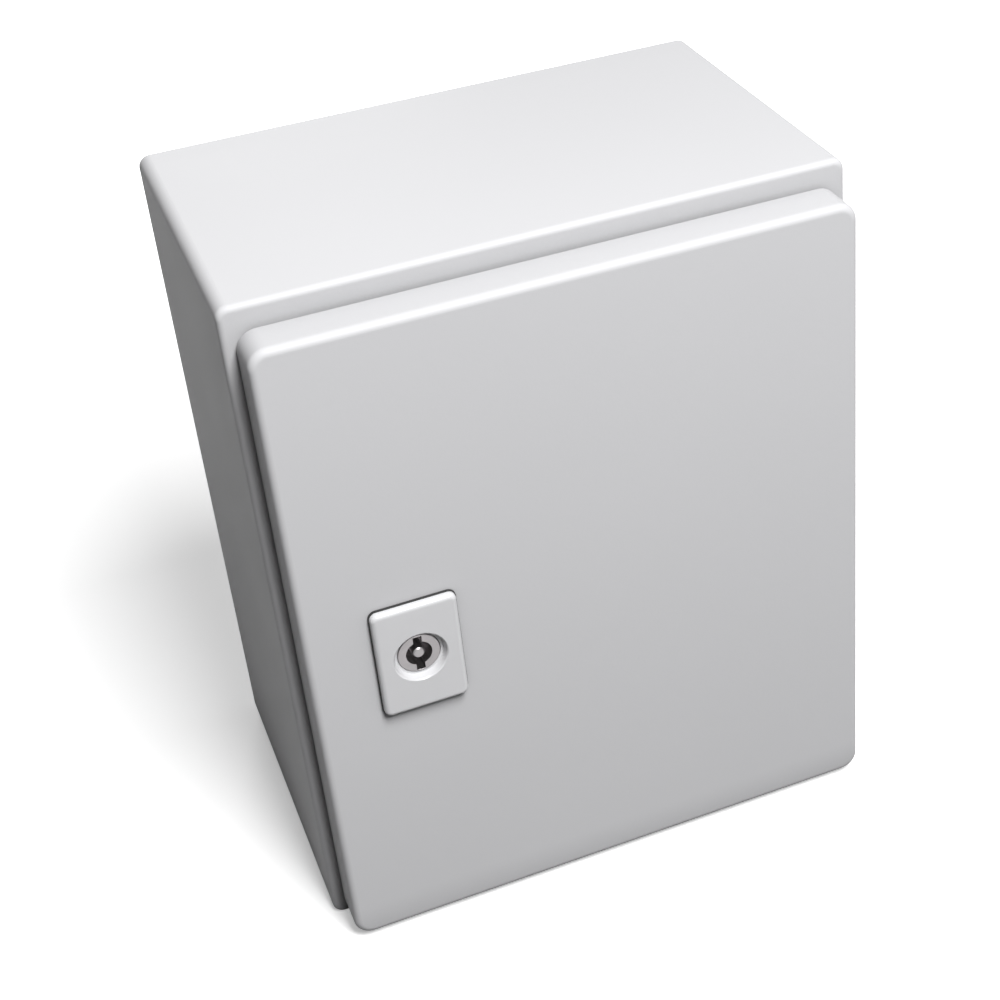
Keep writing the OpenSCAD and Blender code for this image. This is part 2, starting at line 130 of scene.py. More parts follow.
@dataclass
class Wiring:
    """Adds nodes to one node tree and links them."""

    tree: bpy.types.NodeTree

    def add(
        self, kind: str, settings: dict[str, Any] | None = None, **inputs: Any
    ) -> bpy.types.Node:
        """Adds a node.

        Args:
            kind: the node's type.
            settings: attributes to set on it.
            inputs: values or sockets for its inputs, with underscores for spaces in their names.

        Returns:
            The new node.
        """
        node = self.tree.nodes.new(kind)
        for key, value in (settings or {}).items():
            setattr(node, key, value)
        for key, value in inputs.items():
            self.feed(node.inputs[key.replace("_", " ")], value)
        return node

    def feed(self, socket: bpy.types.NodeSocket, value: Any) -> None:
        """Links a socket to another, or sets its value.

        Args:
            socket: the input.
            value: an output socket, or a plain value.
        """
        if isinstance(value, bpy.types.NodeSocket):
            self.tree.links.new(value, socket)
        else:
            socket.default_value = value

    def maths(self, operation: str, first: Any, second: Any = 0.0) -> bpy.types.NodeSocket:
        """Adds a Math node.

        Args:
            operation: Blender's name for the operation.
            first: first operand, a number or a socket.
            second: second operand.

        Returns:
            The result's socket.
        """
        node = self.tree.nodes.new("ShaderNodeMath")
        node.operation = operation
        self.feed(node.inputs[0], first)
        self.feed(node.inputs[1], second)
        return node.outputs[0]

    def spread(self, value: Any, low: Any, high: Any) -> bpy.types.NodeSocket:
        """Maps 0 to 1 onto low to high.

        Args:
            value: the socket to map.
            low: result at 0.
            high: result at 1.

        Returns:
            The mapped socket.
        """
        node = self.add("ShaderNodeMapRange", Value=value)
        self.feed(node.inputs["To Min"], low)
        self.feed(node.inputs["To Max"], high)
        return node.outputs["Result"]

    def tint(self, colour: Any, grey: Any) -> bpy.types.NodeSocket:
        """Multiplies a colour by a grey value.

        Args:
            colour: colour or socket.
            grey: value or socket.

        Returns:
            The product's socket.
        """
        node = self.add("ShaderNodeVectorMath", {"operation": "SCALE"})
        self.feed(node.inputs[0], colour)
        self.feed(node.inputs["Scale"], grey)
        return node.outputs[0]

    def object_space(self) -> bpy.types.NodeSocket:
        """Returns the object coordinates, which are metres in the row frame."""
        return self.add("ShaderNodeTexCoord").outputs["Object"]

    def noise(
        self, scale: Any, detail: float = 2.0, vector: Any = None
    ) -> bpy.types.NodeSocket:
        """Adds a noise texture in object space.

        Args:
            scale: features per metre.
            detail: octaves.
            vector: other coordinates to read.

        Returns:
            The noise value's socket.
        """
        node = self.add("ShaderNodeTexNoise", Detail=detail)
        self.feed(node.inputs["Vector"], self.object_space() if vector is None else vector)
        self.feed(node.inputs["Scale"], scale)
        return node.outputs[0]


@dataclass
class EffectKit:
    """The shader effects that several finishes share, each built once as a node group.

    Args:
        fine_peel: how much finer the second layer of the orange peel is.
        rough_finer: how much finer the roughness drifts than the colour.
        scratch_width: width of a scratch as a share of its cell.
        scratch_bend: how far the scratches bend, in metres.
        scratch_patch: size of the handled patches, in patches per metre.
        scratch_bare: share of the surface that stays free of scratches.
        dust_grain: specks of dust per metre.
        corner_shade_rays: rays that look for narrow corners, to paint shade into them.
    """

    fine_peel: float = 3.7
    rough_finer: float = 4.0
    scratch_width: float = 0.012
    scratch_bend: float = 0.05
    scratch_patch: float = 35.0
    scratch_bare: float = 0.6
    dust_grain: float = 220.0
    corner_shade_rays: int = 6

    def __post_init__(self) -> None:
        """Builds every group."""
        self.coat_peel = self._coat_peel()
        self.tone_drift = self._tone_drift()
        self.grain_lines = self._grain_lines()
        self.fine_scratches = self._fine_scratches()
        self.dust_and_corner_shade = self._dust_and_corner_shade()

    @staticmethod
    def _open(
        name: str, inputs: Sequence[Port], outputs: Sequence[Port]
    ) -> tuple[Wiring, Any, Any]:
        """Starts a group.

        Args:
            name: the group's name.
            inputs: its inputs.
            outputs: its outputs.

        Returns:
            The group's wiring, its input node and its output node.
        """
        tree = bpy.data.node_groups.new(name, "ShaderNodeTree")
        for port in inputs:
            socket = tree.interface.new_socket(
                name=port.name, in_out="INPUT", socket_type=port.kind.value
            )
            if port.value is not None:
                socket.default_value = port.value
        for port in outputs:
            tree.interface.new_socket(
                name=port.name, in_out="OUTPUT", socket_type=port.kind.value
            )
        return Wiring(tree), tree.nodes.new("NodeGroupInput"), tree.nodes.new("NodeGroupOutput")

    def _coat_peel(self) -> bpy.types.NodeTree:
        """Returns the slight orange peel of a baked powder coat."""
        wires, source, sink = self._open(
            "coat_peel",
            [Port("Scale", PortKind.VALUE, 700.0), Port("Fine Share", PortKind.VALUE, 0.25)],
            [Port("Height", PortKind.VALUE)],
        )
        coarse = wires.noise(source.outputs["Scale"], 1.0)
        fine = wires.noise(wires.maths("MULTIPLY", source.outputs["Scale"], self.fine_peel), 0.0)
        mixed = wires.maths("MULTIPLY_ADD", fine, source.outputs["Fine Share"])
        wires.feed(mixed.node.inputs[2], coarse)
        wires.feed(sink.inputs["Height"], mixed)
        return wires.tree

    def _tone_drift(self) -> bpy.types.NodeTree:
        """Returns a slow drift of colour and roughness over a surface."""
        wires, source, sink = self._open(
            "tone_drift",
            [
                Port("Base", PortKind.COLOUR, (0.5, 0.5, 0.5, 1.0)),
                Port("Scale", PortKind.VALUE, 12.0),
                Port("Amount", PortKind.VALUE, 0.02),
                Port("Rough Low", PortKind.VALUE, 0.4),
                Port("Rough High", PortKind.VALUE, 0.5),
            ],
            [Port("Colour", PortKind.COLOUR), Port("Roughness", PortKind.VALUE)],
        )
        patch = wires.noise(source.outputs["Scale"], 3.0)
        centred = wires.maths("SUBTRACT", patch, 0.5)
        swing = wires.maths("MULTIPLY", centred, source.outputs["Amount"])
        tone = wires.maths("ADD", swing, 1.0)
        wires.feed(sink.inputs["Colour"], wires.tint(source.outputs["Base"], tone))
        rough = wires.noise(wires.maths("MULTIPLY", source.outputs["Scale"], self.rough_finer))
        wires.feed(
            sink.inputs["Roughness"],
            wires.spread(rough, source.outputs["Rough Low"], source.outputs["Rough High"]),
        )
        return wires.tree

    def _grain_lines(self) -> bpy.types.NodeTree:
        """Returns rolled or brushed lines that run along one direction."""
        wires, source, sink = self._open(
            "grain_lines",
            [
                Port("Stretch", PortKind.VECTOR, (1.0, 1.0, 1.0)),
                Port("Scale", PortKind.VALUE, 900.0),
                Port("Low", PortKind.VALUE, 0.3),
                Port("High", PortKind.VALUE, 0.5),
            ],
            [Port("Value", PortKind.VALUE), Port("Height", PortKind.VALUE)],
        )
        stretched = wires.add("ShaderNodeVectorMath", {"operation": "MULTIPLY"})
        wires.feed(stretched.inputs[0], wires.object_space())
        wires.feed(stretched.inputs[1], source.outputs["Stretch"])
        lines = wires.noise(source.outputs["Scale"], 4.0, stretched.outputs[0])
        wires.feed(
            sink.inputs["Value"], wires.spread(lines, source.outputs["Low"], source.outputs["High"])
        )
        wires.feed(sink.inputs["Height"], lines)
        return wires.tree

    def _fine_scratches(self) -> bpy.types.NodeTree:
        """Returns a sparse mask of hairline scratches from handling."""
        wires, source, sink = self._open(
            "fine_scratches",
            [Port("Scale", PortKind.VALUE, 60.0), Port("Amount", PortKind.VALUE, 0.5)],
            [Port("Mask", PortKind.VALUE)],
        )
        warped = wires.add("ShaderNodeTexNoise", Detail=1.0, Scale=9.0)
        wires.feed(warped.inputs["Vector"], wires.object_space())
        bent = wires.add("ShaderNodeVectorMath", {"operation": "MULTIPLY_ADD"})
        wires.feed(bent.inputs[0], warped.outputs["Color"])
        bent.inputs[1].default_value = (self.scratch_bend,) * 3
        wires.feed(bent.inputs[2], wires.object_space())
        cells = wires.add("ShaderNodeTexVoronoi", {"feature": "DISTANCE_TO_EDGE"})
        wires.feed(cells.inputs["Vector"], bent.outputs[0])
        wires.feed(cells.inputs["Scale"], source.outputs["Scale"])
        line = wires.maths("LESS_THAN", cells.outputs["Distance"], self.scratch_width)
        handled = wires.noise(self.scratch_patch)
        patch = wires.maths("GREATER_THAN", handled, self.scratch_bare)
        sparse = wires.maths("MULTIPLY", line, patch)
        mask = wires.maths("MULTIPLY", sparse, source.outputs["Amount"])
        wires.feed(sink.inputs["Mask"], mask)
        return wires.tree

    def _dust_and_corner_shade(self) -> bpy.types.NodeTree:
        """Returns thin dust on surfaces that face up, and painted shade that darkens narrow
        corners.
        """
        wires, source, sink = self._open(
            "dust_and_corner_shade",
            [
                Port("Base", PortKind.COLOUR, (0.5, 0.5, 0.5, 1.0)),
                Port("Dust", PortKind.COLOUR, (0.55, 0.53, 0.5, 1.0)),
                Port("Amount", PortKind.VALUE, 0.1),
                Port("Corner Reach", PortKind.VALUE, 0.02),
                Port("Corner Shade", PortKind.VALUE, 0.5),
            ],
            [Port("Colour", PortKind.COLOUR)],
        )
        facing = wires.add("ShaderNodeSeparateXYZ")
        wires.feed(facing.inputs[0], wires.add("ShaderNodeNewGeometry").outputs["Normal"])
        up = wires.maths("MAXIMUM", facing.outputs["Z"], 0.0)
        specks = wires.maths("MULTIPLY", up, wires.noise(self.dust_grain, 4.0))
        cover = wires.maths("MULTIPLY", specks, source.outputs["Amount"])
        mix = wires.add("ShaderNodeMix", {"data_type": "RGBA"})
        wires.feed(mix.inputs["Factor"], cover)
        wires.feed(mix.inputs[6], source.outputs["Base"])
        wires.feed(mix.inputs[7], source.outputs["Dust"])
        # Painted shade: ambient occlusion darkens the colour in narrow corners and in gaps between
        # parts, where shade falls.
        open_share = wires.add("ShaderNodeAmbientOcclusion", {"samples": self.corner_shade_rays})
        wires.feed(open_share.inputs["Distance"], source.outputs["Corner Reach"])
        corner_shade = wires.spread(open_share.outputs["AO"], source.outputs["Corner Shade"], 1.0)
        wires.feed(sink.inputs["Colour"], wires.tint(mix.outputs[2], corner_shade))
        return wires.tree


@dataclass
class Coating:
    """A new material with its shader node, ready for a finish to wire."""

    name: str

    def __post_init__(self) -> None:
        """Makes the material and its shader."""
        self.material = bpy.data.materials.new(self.name)
        self.material.use_nodes = True
        self.wires = Wiring(self.material.node_tree)
        self.shader = self.material.node_tree.nodes["Principled BSDF"]

    def effect(self, group: bpy.types.NodeTree, **inputs: Any) -> bpy.types.Node:
        """Places a shared effect.

        Args:
            group: the effect's node group.
            inputs: its own values, with underscores for spaces.

        Returns:
            The group node.
        """
        return self.wires.add("ShaderNodeGroup", {"node_tree": group}, **inputs)

    def drift(
        self, kit: EffectKit, colour: Rgb, rough: tuple[float, float], scale: float, amount: float
    ) -> bpy.types.Node:
        """Places the drift of colour and roughness.

        Args:
            kit: shared effects.
            colour: linear base colour.
            rough: lowest and highest roughness.
            scale: patches per metre.
            amount: strength of the drift.

        Returns:
            The group node.
        """
        low, high = rough
        return self.effect(
            kit.tone_drift,
            Base=opaque(colour),
            Scale=scale,
            Amount=amount,
            Rough_Low=low,
            Rough_High=high,
        )

    def relief(self, edge: float, *layers: tuple[Any, float, float]) -> None:
        """Softens the edges and stacks height layers into the shader's normal.

        Args:
            edge: radius of the softened edges in metres.
            layers: height socket, depth in metres and strength for each.
        """
        normal = self.wires.add("ShaderNodeBevel", {"samples": 4}, Radius=edge).outputs["Normal"]
        for height, depth, strength in layers:
            bump = self.wires.add(
                "ShaderNodeBump", Height=height, Distance=depth, Strength=strength
            )
            self.wires.feed(bump.inputs["Normal"], normal)
            normal = bump.outputs["Normal"]
        self.wires.feed(self.shader.inputs["Normal"], normal)

    def set(self, **values: Any) -> None:
        """Sets or links shader inputs, with underscores for spaces."""
        for key, value in values.items():
            self.wires.feed(self.shader.inputs[key.replace("_", " ")], value)


def opaque(colour: Rgb) -> tuple[float, float, float, float]:
    """Returns the colour with full alpha."""
    return (*colour, 1.0)


@dataclass(frozen=True)
class PowderCoat:
    """Baked powder paint on sheet steel.

    Args:
        colour: linear base colour.
        rough: lowest and highest roughness.
        sheen: strength of the reflection.
        peel: depth of the orange peel in metres.
        roll: depth of the sheet's own waves in metres.
        edge: radius of the softened edges in metres.
    """

    colour: Rgb = (0.60, 0.60, 0.613)
    rough: tuple[float, float] = (0.42, 0.5)
    sheen: float = 0.15
    peel: float = 0.04 * MM
    roll: float = 0.6 * MM
    edge: float = 0.4 * MM

    def make(self, kit: EffectKit, name: str) -> bpy.types.Material:
        """Builds the material.

        Args:
            kit: shared effects.
            name: the material's name.

        Returns:
            The material.
        """
        coat = Coating(name)
        drift = coat.drift(kit, self.colour, self.rough, scale=9.0, amount=0.03)
        # The dust group also darkens narrow corners with painted shade.
        dust_and_shade = coat.effect(kit.dust_and_corner_shade, Base=drift.outputs["Colour"], Amount=0.02)
        peel = coat.effect(kit.coat_peel, Scale=650.0)
        rolled = coat.wires.noise(14.0, 1.0)
        coat.set(Base_Color=dust_and_shade.outputs["Colour"], Roughness=drift.outputs["Roughness"])
        coat.set(Specular_IOR_Level=self.sheen)
        coat.relief(self.edge, (rolled, self.roll, 0.12), (peel.outputs["Height"], self.peel, 0.5))
        return coat.material


@dataclass(frozen=True)
class CastPaint:
    """Smooth paint on a die-cast lock body.

    Args:
        colour: linear base colour.
        rough: lowest and highest roughness.
        peel: depth of the paint's texture in metres.
        edge: radius of the softened edges in metres.
    """

    colour: Rgb = (0.62, 0.62, 0.633)
    rough: tuple[float, float] = (0.26, 0.34)
    peel: float = 0.02 * MM
    edge: float = 0.3 * MM

    def make(self, kit: EffectKit, name: str) -> bpy.types.Material:
        """Builds the material.

        Args:
            kit: shared effects.
            name: the material's name.

        Returns:
            The material.
        """
        coat = Coating(name)
        drift = coat.drift(kit, self.colour, self.rough, scale=60.0, amount=0.04)
        peel = coat.effect(kit.coat_peel, Scale=1500.0, Fine_Share=0.4)
        coat.set(Base_Color=drift.outputs["Colour"], Roughness=drift.outputs["Roughness"])
        coat.relief(self.edge, (peel.outputs["Height"], self.peel, 0.4))
        return coat.material


@dataclass(frozen=True)
class ZincSheet:
    """Galvanised sheet with its spangle and rolling lines.

    Args:
        colour: linear base colour.
        spangle: crystals per metre.
        shades: darkest and lightest crystal, as shares of the colour.
        rough: lowest and highest roughness.
        relief: depth of crystals and rolling lines in metres.
        edge: radius of the softened edges in metres.
    """

    colour: Rgb = (0.56, 0.58, 0.59)
    spangle: float = 140.0
    shades: tuple[float, float] = (0.86, 1.08)
    rough: tuple[float, float] = (0.3, 0.52)
    relief: float = 0.02 * MM
    edge: float = 0.2 * MM

    def make(self, kit: EffectKit, name: str) -> bpy.types.Material:
        """Builds the material.

        Args:
            kit: shared effects.
            name: the material's name.

        Returns:
            The material.
        """
        coat = Coating(name)
        wires = coat.wires
        cells = wires.add("ShaderNodeTexVoronoi", {"feature": "F1"}, Scale=self.spangle)
        wires.feed(cells.inputs["Vector"], wires.object_space())
        parts = wires.add("ShaderNodeSeparateColor")
        wires.feed(parts.inputs[0], cells.outputs["Color"])
        shade = wires.spread(parts.outputs[0], *self.shades)
        lines = coat.effect(
            kit.grain_lines, Stretch=(0.05, 1.0, 1.0), Scale=700.0, Low=0.93, High=1.04
        )
        rolled = wires.tint(wires.tint(self.colour, shade), lines.outputs["Value"])
        # The dust group also darkens narrow corners with painted shade.
        dust_and_shade = coat.effect(kit.dust_and_corner_shade, Base=rolled, Amount=0.12)
        scratch = coat.effect(kit.fine_scratches, Scale=55.0, Amount=0.25)
        crystal_rough = wires.spread(parts.outputs[1], *self.rough)
        rough = wires.maths("ADD", crystal_rough, scratch.outputs["Mask"])
        coat.set(Base_Color=dust_and_shade.outputs["Colour"], Roughness=rough, Metallic=0.9)
        coat.relief(
            self.edge,
            (parts.outputs[0], self.relief, 0.3),
            (lines.outputs["Height"], self.relief, 0.4),
        )
        return coat.material


@dataclass(frozen=True)
class PlatedSteel:
    """Zinc plated fasteners and brackets.

    Args:
        colour: linear base colour.
        rough: lowest and highest roughness.
        stretch: direction of the drawing lines.
        relief: depth of the drawing lines in metres.
        edge: radius of the softened edges in metres.
    """

    colour: Rgb
    rough: tuple[float, float]
    stretch: Triple = (1.0, 1.0, 0.08)
    relief: float = 0.02 * MM
    edge: float = 0.3 * MM

    def make(self, kit: EffectKit, name: str) -> bpy.types.Material:
        """Builds the material.

        Args:
            kit: shared effects.
            name: the material's name.

        Returns:
            The material.
        """
        coat = Coating(name)
        low, high = self.rough
        lines = coat.effect(
            kit.grain_lines, Stretch=self.stretch, Scale=1500.0, Low=low, High=high
        )
        drift = coat.effect(kit.tone_drift, Base=opaque(self.colour), Scale=90.0, Amount=0.22)
        scratch = coat.effect(kit.fine_scratches, Scale=180.0, Amount=0.2)
        rough = coat.wires.maths("ADD", lines.outputs["Value"], scratch.outputs["Mask"])
        coat.set(Base_Color=drift.outputs["Colour"], Roughness=rough, Metallic=0.95)
        coat.relief(self.edge, (lines.outputs["Height"], self.relief, 0.35))
        return coat.material


@dataclass(frozen=True)
class TurnedMetal:
    """Turned and plated lock insert, with fine rings round its axis.

    Args:
        centre: a point on the lock's axis, in metres.
        colour: linear base colour.
        rough: lowest and highest roughness.
        pitch: distance between rings in metres.
        ring: depth of a ring in metres.
        edge: radius of the softened edges in metres.
    """

    centre: Triple
    colour: Rgb = (0.33, 0.315, 0.32)
    rough: tuple[float, float] = (0.28, 0.42)
    pitch: float = 0.22 * MM
    ring: float = 0.012 * MM
    edge: float = 0.2 * MM

    def make(self, kit: EffectKit, name: str) -> bpy.types.Material:
        """Builds the material.

        Args:
            kit: shared effects.
            name: the material's name.

        Returns:
            The material.
        """
        coat = Coating(name)
        wires = coat.wires
        offset = wires.add("ShaderNodeVectorMath", {"operation": "SUBTRACT"})
        wires.feed(offset.inputs[0], wires.object_space())
        offset.inputs[1].default_value = self.centre
        flat = wires.add("ShaderNodeVectorMath", {"operation": "MULTIPLY"})
        wires.feed(flat.inputs[0], offset.outputs[0])
        flat.inputs[1].default_value = (1.0, 0.0, 1.0)
        length = wires.add("ShaderNodeVectorMath", {"operation": "LENGTH"})
        wires.feed(length.inputs[0], flat.outputs[0])
        phase = wires.maths("MULTIPLY", length.outputs["Value"], math.tau / self.pitch)
        rings = wires.maths("SINE", phase)
        drift = coat.drift(kit, self.colour, self.rough, scale=180.0, amount=0.3)
        coat.set(Base_Color=drift.outputs["Colour"], Roughness=drift.outputs["Roughness"])
        coat.set(Metallic=1.0)
        coat.relief(self.edge, (rings, self.ring, 0.25))
        return coat.material


@dataclass(frozen=True)
class Foam:
    """Foamed-in-place polyurethane seal with an open skin.

    Args:
        colour: linear base colour.
        rough: lowest and highest roughness.
        pores: pores per metre.
        swell: depth of the skin's swells in metres.
        pore: depth of a pore in metres.
        edge: radius of the softened edges in metres.
    """

    colour: Rgb = (0.035, 0.035, 0.037)
    rough: tuple[float, float] = (0.8, 0.95)
    pores: float = 1400.0
    swell: float = 0.2 * MM
    pore: float = 0.3 * MM
    edge: float = 0.6 * MM

    def make(self, kit: EffectKit, name: str) -> bpy.types.Material:
        """Builds the material.

        Args:
            kit: shared effects.
            name: the material's name.

        Returns:
            The material.
        """
        coat = Coating(name)
        wires = coat.wires
        cells = wires.add("ShaderNodeTexVoronoi", {"feature": "F1"}, Scale=self.pores)
        wires.feed(cells.inputs["Vector"], wires.object_space())
        drift = coat.drift(kit, self.colour, self.rough, scale=120.0, amount=0.5)
        # The dust group also darkens narrow corners with painted shade.
        dust_and_shade = coat.effect(kit.dust_and_corner_shade, Base=drift.outputs["Colour"], Amount=0.15)
        coat.set(Base_Color=dust_and_shade.outputs["Colour"], Roughness=drift.outputs["Roughness"])
        coat.relief(
            self.edge,
            (wires.noise(400.0), self.swell, 0.4),
            (cells.outputs["Distance"], self.pore, 0.6),
        )
        return coat.material


@dataclass(frozen=True)
class Rubber:
    """Moulded black rubber.

    Args:
        colour: linear base colour.
        rough: lowest and highest roughness.
        grain: depth of the mould's grain in metres.
        edge: radius of the softened edges in metres.
    """

    colour: Rgb = (0.022, 0.022, 0.022)
    rough: tuple[float, float] = (0.55, 0.7)
    grain: float = 0.03 * MM
    edge: float = 0.2 * MM

    def make(self, kit: EffectKit, name: str) -> bpy.types.Material:
        """Builds the material.

        Args:
            kit: shared effects.
            name: the material's name.

        Returns:
            The material.
        """
        coat = Coating(name)
        drift = coat.drift(kit, self.colour, self.rough, scale=150.0, amount=0.4)
        grain = coat.effect(kit.coat_peel, Scale=2500.0, Fine_Share=0.6)
        coat.set(Base_Color=drift.outputs["Colour"], Roughness=drift.outputs["Roughness"])
        coat.relief(self.edge, (grain.outputs["Height"], self.grain, 0.6))
        return coat.material


@dataclass
class Wardrobe:
    """The finished material for every slot.

    Args:
        kit: shared effects.
        lock_centre: a point on the lock's axis, for the turned rings.
    """

    kit: EffectKit
    lock_centre: Triple

    def __post_init__(self) -> None:
        """Makes one material a slot."""
        finishes: dict[Slot, Any] = {
            Slot.POWDER_COAT: PowderCoat(),
            Slot.ZINC_PLATE: ZincSheet(),
            Slot.HARDWARE: PlatedSteel((0.56, 0.57, 0.6), (0.26, 0.42)),
            Slot.HINGE_STEEL: PlatedSteel((0.5, 0.5, 0.51), (0.34, 0.5), (0.08, 1.0, 1.0)),
            Slot.LOCK_BODY: CastPaint(),
            Slot.LOCK_METAL: TurnedMetal(self.lock_centre),
            Slot.FOAM_SEAL: Foam(),
            Slot.RUBBER_SEAL: Rubber(),
        }
        self.materials = {
            slot: finish.make(self.kit, slot.value) for slot, finish in finishes.items()
        }

    def dress_node(self, node: str) -> None:
        """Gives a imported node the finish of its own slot.

        Args:
            node: the node's name.
        """
        record = frame["record"]
        named = {part["node"]: part["material_slot"] for part in record["subparts"]}
        solid = frame["nodes"][node]
        for place in solid.material_slots:
            place.material = self.materials[Slot(named[node])]
        LOG.info("dressed %s as %s", node, named[node])

    def dress_piece(self, piece: bpy.types.Object, slot: Slot, body: Body) -> bpy.types.Object:
        """Finishes a new piece and lets it ride on its body.

        Args:
            piece: the new object, in place.
            slot: its material slot.
            body: the body that it moves with.

        Returns:
            The piece.
        """
        piece.data.materials.clear()
        piece.data.materials.append(self.materials[slot])
        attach(piece, body.value)
        LOG.info("made %s on %s", piece.name, body.value)
        return piece


def new_piece(
    name: str, points: Sequence[Sequence[float]], faces: Faces, smooth: bool = True
) -> bpy.types.Object:
    """Makes an object from points and faces.

    Args:
        name: the object's name.
        points: corners in metres.
        faces: corner indices of each face.
        smooth: whether its faces shade smoothly.

    Returns:
        The object, linked to the scene.
    """
    mesh = bpy.data.meshes.new(name)
    mesh.from_pydata([tuple(point) for point in points], [], faces)
    mesh.validate()
    mesh.polygons.foreach_set("use_smooth", [smooth] * len(mesh.polygons))
    mesh.update()
    piece = bpy.data.objects.new(name, mesh)
    bpy.context.scene.collection.objects.link(piece)
    return piece


def aimed(heading: Heading) -> Matrix:
    """Returns the turn that takes +Z to the heading."""
    return Vector((0.0, 0.0, 1.0)).rotation_difference(Vector(heading.value)).to_matrix()


@dataclass(frozen=True)
class Ridge:
    """The crest of a rolled thread, wound round a plain shank.

    Args:
        radius: the shank's radius in metres.
        pitch: the thread's pitch in metres.
        depth: how far the crest stands out in metres.
        steps: points a turn.
        flat: half the distance between flats that cut the crest, or 0.
        sink: how far the crest's feet lie inside the shank, in metres.
        foot: distance from crest to foot along the axis, as a share of the pitch.
        fade_turns: turns over which the crest rises from the shank at each end.
    """

    radius: float
    pitch: float
    depth: float = 0.15 * MM
    steps: int = 40
    flat: float = 0.0
    sink: float = 0.06 * MM
    foot: float = 0.45
    fade_turns: float = 0.5

    def wind(self, start: Vector, length: float, heading: Heading) -> tuple[list[Vector], Faces]:
        """Winds the crest.

        Args:
            start: where the thread begins, on the axis.
            length: how far it runs.
            heading: its direction.

        Returns:
            Points and faces.
        """
        turn = aimed(heading)
        count = max(2, int(length / self.pitch * self.steps))
        fade_steps = self.fade_turns * self.steps
        points: list[Vector] = []
        faces: Faces = []
        for index in range(count + 1):
            angle = math.tau * index / self.steps
            along = length * index / count
            fade = min(1.0, index / fade_steps, (count - index) / fade_steps)
            for out, shift in (
                (-self.sink, -self.foot),
                (self.depth * fade, 0.0),
                (-self.sink, self.foot),
            ):
                reach = self.radius + out
                x, y = reach * math.cos(angle), reach * math.sin(angle)
                if self.flat:
                    x = max(-self.flat, min(self.flat, x))
                z = min(max(along + shift * self.pitch, 0.0), length)
                points.append(start + turn @ Vector((x, y, z)))
        for index in range(count):
            for side in range(2):
                corner = index * 3 + side
                faces.append((corner, corner + 1, corner + 4, corner + 3))
        return points, faces


def merge_parts(parts: Sequence[tuple[list[Vector], Faces]]) -> tuple[list[Vector], Faces]:
    """Joins several sets of points and faces.

    Args:
        parts: the sets.

    Returns:
        One set.
    """
    points: list[Vector] = []
    faces: Faces = []
    for part_points, part_faces in parts:
        base = len(points)
        points += part_points
        faces += [tuple(corner + base for corner in face) for face in part_faces]
    return points, faces


def dimple(
    centre: Vector, heading: Heading, radius: float, height: float
) -> tuple[list[Vector], Faces]:
    """Shapes a spot weld: a low ring round a shallow dish.

    Args:
        centre: its middle on the sheet.
        heading: the sheet's outward direction.
        radius: its radius.
        height: the ring's height.

    Returns:
        Points and faces.
    """
    turn = aimed(heading)
    count = SPOT_STEPS
    points = [centre + turn @ Vector((0.0, 0.0, SPOT_MIDDLE * height))]
    for share, level in SPOT_PROFILE:
        for index in range(count):
            angle = math.tau * index / count
            reach = radius * share
            rim = Vector((reach * math.cos(angle), reach * math.sin(angle), level * height))
            points.append(centre + turn @ rim)
    faces: Faces = []
    for ring in range(len(SPOT_PROFILE) - 1):
        for index in range(count):
            after = (index + 1) % count
            outer, inner = 1 + ring * count, 1 + (ring + 1) * count
            faces.append((outer + index, outer + after, inner + after, inner + index))
    last = 1 + (len(SPOT_PROFILE) - 1) * count
    faces += [(last + index, last + (index + 1) % count, 0) for index in range(count)]
    return points, faces


@dataclass
class FoldedBody:
    """The folded shell and its welded rear panel.

    Args:
        wardrobe: the finishes.
    """

    wardrobe: Wardrobe

    def build(self) -> None:
        """Dresses the sheets."""
        self.wardrobe.dress_node("body_shell")
        self.wardrobe.dress_node("rear_panel")


@dataclass
class PlateSet:
    """The mounting plate on its four studs.

    Args:
        wardrobe: the finishes.
        radius: the studs' thread radius.
        pitch: their thread pitch.
        base_reach: distance from a stud's axis to the outer edge of its base.
        bare_tip: length without thread at the tip.
    """

    wardrobe: Wardrobe
    radius: float = 4.0 * MM
    pitch: float = 1.25 * MM
    base_reach: float = 8.0 * MM
    bare_tip: float = 1.0 * MM

    def build(self) -> None:
        """Dresses plate and fasteners and winds the stud threads."""
        for node in ("mounting_plate", "plate_studs", "plate_washers", "plate_nuts"):
            self.wardrobe.dress_node(node)
        low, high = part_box("plate_studs")
        nut_low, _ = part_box("plate_nuts")
        reach_x = (high.x - low.x) / 2 - self.base_reach
        reach_z = (high.z - low.z) / 2 - self.base_reach
        length = nut_low.y - low.y - self.bare_tip
        ridge = Ridge(self.radius, self.pitch)
        starts = [
            Vector((side * reach_x, nut_low.y, level * reach_z))
            for side in (-1, 1)
            for level in (-1, 1)
        ]
        parts = [ridge.wind(start, length, Heading.FORWARD) for start in starts]
        piece = new_piece("plate_stud_threads", *merge_parts(parts))
        self.wardrobe.dress_piece(piece, Slot.HARDWARE, Body.ENCLOSURE)


